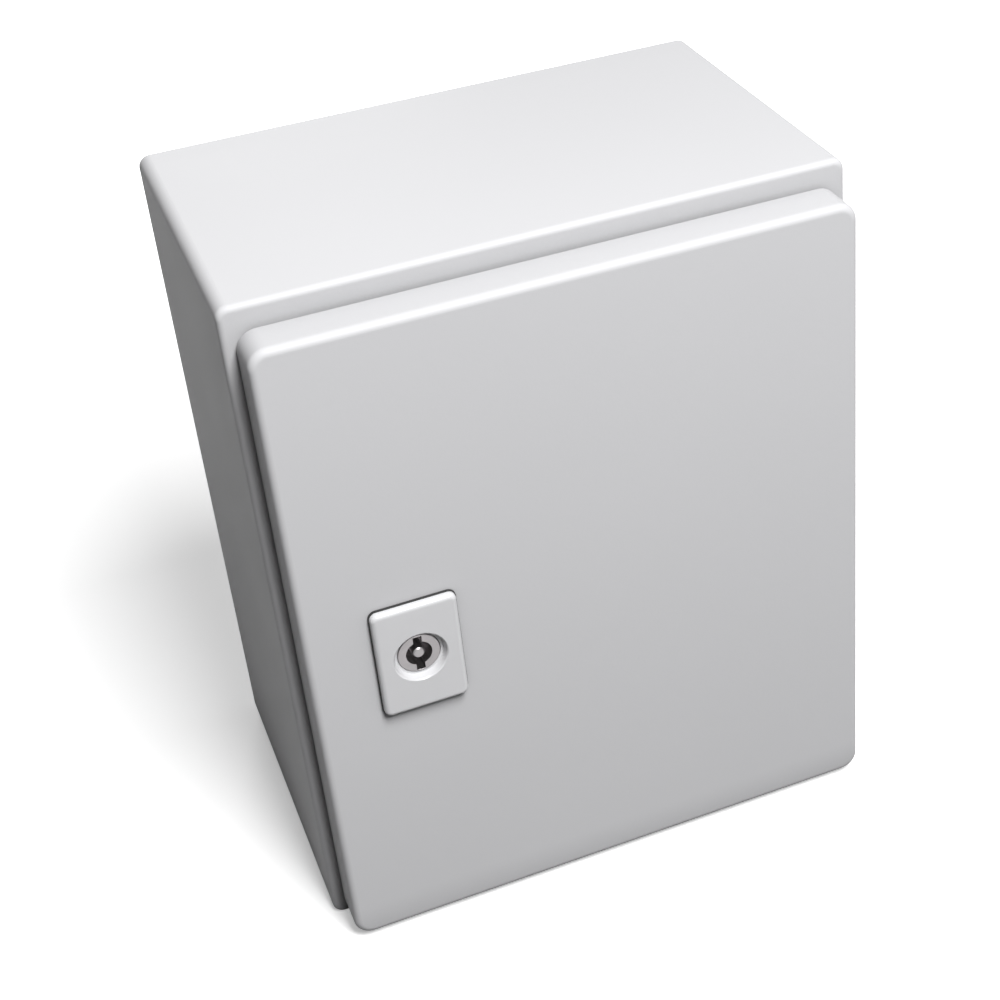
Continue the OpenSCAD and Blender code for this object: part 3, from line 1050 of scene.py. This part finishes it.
@dataclass
class GlandSet:
    """The gland plate in the base, its gasket and its fasteners.

    Args:
        wardrobe: the finishes.
        radius: the studs' thread radius.
        pitch: their thread pitch.
        crest: height of the thread's crest.
        bare_tip: length without thread at the tip.
        side_x: distance of the side studs from the middle, across.
        side_y: distance of the side studs from the plate's middle, front to back.
        end_y: distance of the front and rear studs from the plate's middle.
    """

    wardrobe: Wardrobe
    radius: float = 2.5 * MM
    pitch: float = 0.8 * MM
    crest: float = 0.1 * MM
    bare_tip: float = 0.4 * MM
    side_x: float = 98.0 * MM
    side_y: float = 39.2 * MM
    end_y: float = 56.0 * MM

    def build(self) -> None:
        """Dresses the set and winds the stud threads."""
        for node in ("gland_gasket", "gland_plate", "gland_studs", "gland_washers", "gland_nuts"):
            self.wardrobe.dress_node(node)
        _, stud_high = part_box("gland_studs")
        plate_low, plate_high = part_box("gland_plate")
        _, nut_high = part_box("gland_nuts")
        middle = (plate_low + plate_high) / 2
        length = stud_high.z - nut_high.z - self.bare_tip
        ridge = Ridge(self.radius, self.pitch, depth=self.crest)
        corners = [(side * self.side_x, row * self.side_y) for side in (-1, 1) for row in (-1, 1)]
        parts = [
            ridge.wind(Vector((x, middle.y + y, nut_high.z)), length, Heading.UP)
            for x, y in (*corners, (0.0, self.end_y), (0.0, -self.end_y))
        ]
        piece = new_piece("gland_stud_threads", *merge_parts(parts))
        self.wardrobe.dress_piece(piece, Slot.HARDWARE, Body.ENCLOSURE)


@dataclass
class EarthPoints:
    """The earthing studs of body and door.

    Args:
        wardrobe: the finishes.
        radius: the studs' thread radius.
        pitch: their thread pitch.
        bare_tip: length without thread at the tip.
    """

    wardrobe: Wardrobe
    radius: float = 3.0 * MM
    pitch: float = 1.0 * MM
    bare_tip: float = 1.0 * MM

    def build(self) -> None:
        """Dresses both points and winds their threads."""
        for side in ("body", "door"):
            for part in ("stud", "washer", "nut"):
                self.wardrobe.dress_node(f"{side}_earth_{part}")
        self._thread("body_earth", Heading.RIGHT, Body.ENCLOSURE)
        self._thread("door_earth", Heading.TO_WALL, Body.DOOR)

    def _thread(self, name: str, heading: Heading, body: Body) -> None:
        """Winds one stud's free thread.

        Args:
            name: the point's name.
            heading: the stud's direction.
            body: the body that it rides on.
        """
        axis = Vector(heading.value)
        low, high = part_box(f"{name}_stud")
        _, nut_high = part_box(f"{name}_nut")
        middle = (low + high) / 2
        start = middle + axis * (axis.dot(nut_high) - axis.dot(middle))
        length = axis.dot(high) - axis.dot(nut_high) - self.bare_tip
        points, faces = Ridge(self.radius, self.pitch).wind(start, length, heading)
        piece = new_piece(f"{name}_thread", points, faces)
        self.wardrobe.dress_piece(piece, Slot.HARDWARE, body)


@dataclass
class HingePair:
    """Both hinges: brackets on the rim, ears on the door, pins and clips.

    Args:
        wardrobe: the finishes.
        foot: thickness of the feet.
        spot_radius: radius of a spot weld.
        spot_height: height of its ring.
        bracket_in: distance of the spots from the bracket foot's left edge.
        bracket_step: distance between the spots on a bracket foot.
        ear_in: distance of the spots from the ears' foot's left edge.
        ear_step: distance between the spots on the ears' foot.
    """

    wardrobe: Wardrobe
    foot: float = 2.0 * MM
    spot_radius: float = 1.3 * MM
    spot_height: float = 0.12 * MM
    bracket_in: float = 2.0 * MM
    bracket_step: float = 14.0 * MM
    ear_in: float = 2.2 * MM
    ear_step: float = 17.5 * MM

    def build(self) -> None:
        """Dresses the hinges and adds the spot welds on the bracket feet."""
        for node in (
            "hinge_bracket_upper",
            "hinge_bracket_lower",
            "hinge_ears_upper",
            "hinge_ears_lower",
            "hinge_pins",
            "pin_clips",
        ):
            self.wardrobe.dress_node(node)
        self._welds("hinge_bracket", self.bracket_in, self.bracket_step, Body.ENCLOSURE)
        self._welds("hinge_ears", self.ear_in, self.ear_step, Body.DOOR)

    def _welds(self, name: str, inset: float, step: float, body: Body) -> None:
        """Presses three spot welds into the feet of both hinges.

        Args:
            name: the feet's name without the hinge.
            inset: distance of the spots from the foot's left edge.
            step: distance between the spots.
            body: the body that the feet ride on.
        """
        on_rim = body is Body.ENCLOSURE
        heading = Heading.FORWARD if on_rim else Heading.TO_WALL
        parts = []
        for level in ("upper", "lower"):
            low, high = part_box(f"{name}_{level}")
            face = high.y - self.foot if on_rim else low.y + self.foot
            for row in (-1, 0, 1):
                place = Vector((low.x + inset, face, (low.z + high.z) / 2 + row * step))
                parts.append(dimple(place, heading, self.spot_radius, self.spot_height))
        piece = new_piece(f"{name}_spot_welds", *merge_parts(parts))
        self.wardrobe.dress_piece(piece, Slot.HINGE_STEEL, body)


@dataclass
class PanDoor:
    """The door pan and its foamed seal.

    Args:
        wardrobe: the finishes.
    """

    wardrobe: Wardrobe

    def build(self) -> None:
        """Dresses the pan and the seal."""
        self.wardrobe.dress_node("door_panel")
        self.wardrobe.dress_node("door_seal")


@dataclass
class QuarterTurnLock:
    """The lock in the door: housing, seal and nut, insert, cam and screw.

    Args:
        wardrobe: the finishes.
        centre: a point on the lock's axis.
        barrel_radius: the barrel's thread radius.
        barrel_flat: half the distance between its flats.
        pitch: its thread pitch.
        bare_tip: length without thread at the end.
        turn_steps: points a turn of the thread.
    """

    wardrobe: Wardrobe
    centre: Vector
    barrel_radius: float = 12.0 * MM
    barrel_flat: float = 11.0 * MM
    pitch: float = 1.5 * MM
    bare_tip: float = 0.3 * MM
    turn_steps: int = 96

    def build(self) -> None:
        """Dresses the lock and winds the barrel's thread."""
        for node in (
            "lock_housing",
            "lock_seal",
            "lock_nut",
            "lock_insert",
            "lock_cam",
            "cam_washer",
            "cam_screw",
        ):
            self.wardrobe.dress_node(node)
        _, nut_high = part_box("lock_nut")
        _, barrel_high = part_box("lock_housing")
        length = barrel_high.y - nut_high.y - self.bare_tip
        ridge = Ridge(
            self.barrel_radius, self.pitch, steps=self.turn_steps, flat=self.barrel_flat
        )
        start = Vector((self.centre.x, nut_high.y, self.centre.z))
        piece = new_piece("barrel_thread", *ridge.wind(start, length, Heading.TO_WALL))
        self.wardrobe.dress_piece(piece, Slot.LOCK_BODY, Body.DOOR)


@dataclass(frozen=True)
class Lamp:
    """An area lamp aimed at a point.

    Args:
        name: its name.
        place: where it hangs.
        aim: what it points at.
        watts: its power.
        size: its width and height in metres.
    """

    name: str
    place: Triple
    aim: Triple
    watts: float
    size: tuple[float, float]

    def hang(self) -> None:
        """Makes the lamp and hangs it."""
        data = bpy.data.lights.new(self.name, "AREA")
        data.shape = "RECTANGLE"
        data.size, data.size_y = self.size
        data.energy = self.watts
        lamp = bpy.data.objects.new(self.name, data)
        lamp.location = self.place
        lamp.rotation_mode = "QUATERNION"
        lamp.rotation_quaternion = (Vector(self.aim) - Vector(self.place)).to_track_quat("-Z", "Y")
        bpy.context.scene.collection.objects.link(lamp)


@dataclass
class Studio:
    """Pale floor, soft lamps and the camera.

    Args:
        floor_level: height of the floor.
        floor_reach: distance from the middle to the floor's edges.
        floor_seen: the floor's colour to the eye.
        floor_dim: its colour for the light that it throws back.
        floor_rough: its roughness.
        floor_glow: its glow near the part and far from it.
        mirrored_glow: share of the glow that glossy surfaces mirror.
        glow_reach: distances between which the glow rises.
        ambient: strength of the fill light.
        lens: focal length in millimetres.
        sensor: sensor width in millimetres.
        shift: the lens shift, across and up.
        clip: nearest and farthest distance seen.
        camera_place: where the camera stands.
        camera_right: its right-hand direction.
        camera_up: its upward direction.
        camera_back: the direction behind it.
        lamps: the lamps.
    """

    floor_level: float
    floor_reach: float = 20.0
    floor_seen: Rgb = (0.85, 0.85, 0.85)
    floor_dim: Rgb = (0.07, 0.07, 0.07)
    floor_rough: float = 0.9
    floor_glow: tuple[float, float] = (0.4, 1.0)
    mirrored_glow: float = 0.25
    glow_reach: tuple[float, float] = (0.35, 0.8)
    ambient: float = 0.055
    lens: float = 68.061
    sensor: float = 36.0
    shift: tuple[float, float] = (-0.1, -0.1)
    clip: tuple[float, float] = (0.01, 50.0)
    camera_place: Triple = (-0.19751, -0.74856, 0.46052)
    camera_right: Triple = (0.924293, -0.375177, -0.070173)
    camera_up: Triple = (0.252316, 0.462649, 0.849878)
    camera_back: Triple = (-0.286389, -0.803242, 0.522287)
    lamps: tuple[Lamp, ...] = (
        Lamp("key_lamp", (0.22, -1.22, 1.6), (0.0, -0.1, 0.0), 57.5, (0.65, 0.9)),
        Lamp("rear_lamp", (0.1, 1.25, 0.15), (0.0, 0.0, 0.0), 8.0, (0.5, 0.4)),
    )

    def build(self) -> None:
        """Sets up floor, world, lamps, camera and view."""
        self._floor()
        self._world()
        for lamp in self.lamps:
            lamp.hang()
        self._camera()
        bpy.context.scene.view_settings.view_transform = "Standard"

    @staticmethod
    def _seen_directly(wires: Wiring, mirrored: float = 1.0) -> bpy.types.NodeSocket:
        """Tells rays that show the background from rays that carry its light.

        Args:
            wires: the tree to wire in.
            mirrored: result for rays that come off a glossy surface.

        Returns:
            A socket, 1 to the eye and through glass, 0 for fill light.
        """
        path = wires.add("ShaderNodeLightPath")
        glossy = wires.maths("MULTIPLY", path.outputs["Is Glossy Ray"], mirrored)
        direct = wires.maths("MAXIMUM", path.outputs["Is Camera Ray"], glossy)
        return wires.maths("MAXIMUM", direct, path.outputs["Is Transmission Ray"])

    def _floor(self) -> None:
        """Lays the floor: pale to the eye, dimmer for the light that it throws back."""
        reach = self.floor_reach
        corners = [
            (x * reach, y * reach, self.floor_level)
            for x, y in ((-1, -1), (1, -1), (1, 1), (-1, 1))
        ]
        floor = new_piece("studio_floor", corners, [(0, 1, 2, 3)], smooth=False)
        material = bpy.data.materials.new("studio_floor")
        material.use_nodes = True
        wires = Wiring(material.node_tree)
        shader = material.node_tree.nodes["Principled BSDF"]
        seen = self._seen_directly(wires)
        mix = wires.add("ShaderNodeMix", {"data_type": "RGBA"})
        wires.feed(mix.inputs["Factor"], seen)
        mix.inputs[6].default_value = opaque(self.floor_dim)
        mix.inputs[7].default_value = opaque(self.floor_seen)
        wires.feed(shader.inputs["Base Color"], mix.outputs[2])
        shader.inputs["Roughness"].default_value = self.floor_rough
        shader.inputs["Specular IOR Level"].default_value = 0.0
        shader.inputs["Emission Color"].default_value = (1.0, 1.0, 1.0, 1.0)
        glow = self._seen_directly(wires, self.mirrored_glow)
        away = wires.add("ShaderNodeVectorMath", {"operation": "LENGTH"})
        wires.feed(away.inputs[0], wires.object_space())
        pool = wires.add("ShaderNodeMapRange", Value=away.outputs["Value"])
        for label, value in zip(("From Min", "From Max"), self.glow_reach):
            pool.inputs[label].default_value = value
        for label, value in zip(("To Min", "To Max"), self.floor_glow):
            pool.inputs[label].default_value = value
        strength = wires.maths("MULTIPLY", glow, pool.outputs["Result"])
        wires.feed(shader.inputs["Emission Strength"], strength)
        floor.data.materials.append(material)

    def _world(self) -> None:
        """Lights the world: white to the eye, dimmer as fill light."""
        world = bpy.data.worlds.new("studio_world")
        world.use_nodes = True
        bpy.context.scene.world = world
        wires = Wiring(world.node_tree)
        background = world.node_tree.nodes["Background"]
        background.inputs["Color"].default_value = (1.0, 1.0, 1.0, 1.0)
        seen = self._seen_directly(wires)
        wires.feed(background.inputs["Strength"], wires.spread(seen, self.ambient, 1.0))

    def _camera(self) -> None:
        """Places the camera."""
        data = bpy.data.cameras.new("camera")
        data.lens = self.lens
        data.sensor_width = self.sensor
        data.shift_x, data.shift_y = self.shift
        data.clip_start, data.clip_end = self.clip
        camera = bpy.data.objects.new("camera", data)
        turn = Matrix((self.camera_right, self.camera_up, self.camera_back)).transposed()
        camera.matrix_world = Matrix.Translation(self.camera_place) @ turn.to_4x4()
        bpy.context.scene.collection.objects.link(camera)
        bpy.context.scene.camera = camera


def main() -> None:
    """Builds every sub-assembly and the studio."""
    logging.basicConfig(level=logging.INFO, format="%(name)s: %(message)s")
    low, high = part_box("lock_insert")
    centre = (low + high) / 2
    wardrobe = Wardrobe(EffectKit(), (centre.x, centre.y, centre.z))
    FoldedBody(wardrobe).build()
    PlateSet(wardrobe).build()
    GlandSet(wardrobe).build()
    EarthPoints(wardrobe).build()
    HingePair(wardrobe).build()
    PanDoor(wardrobe).build()
    QuarterTurnLock(wardrobe, centre).build()
    Studio(CAD_LOW.z).build()


if __name__ == "__main__":
    main()
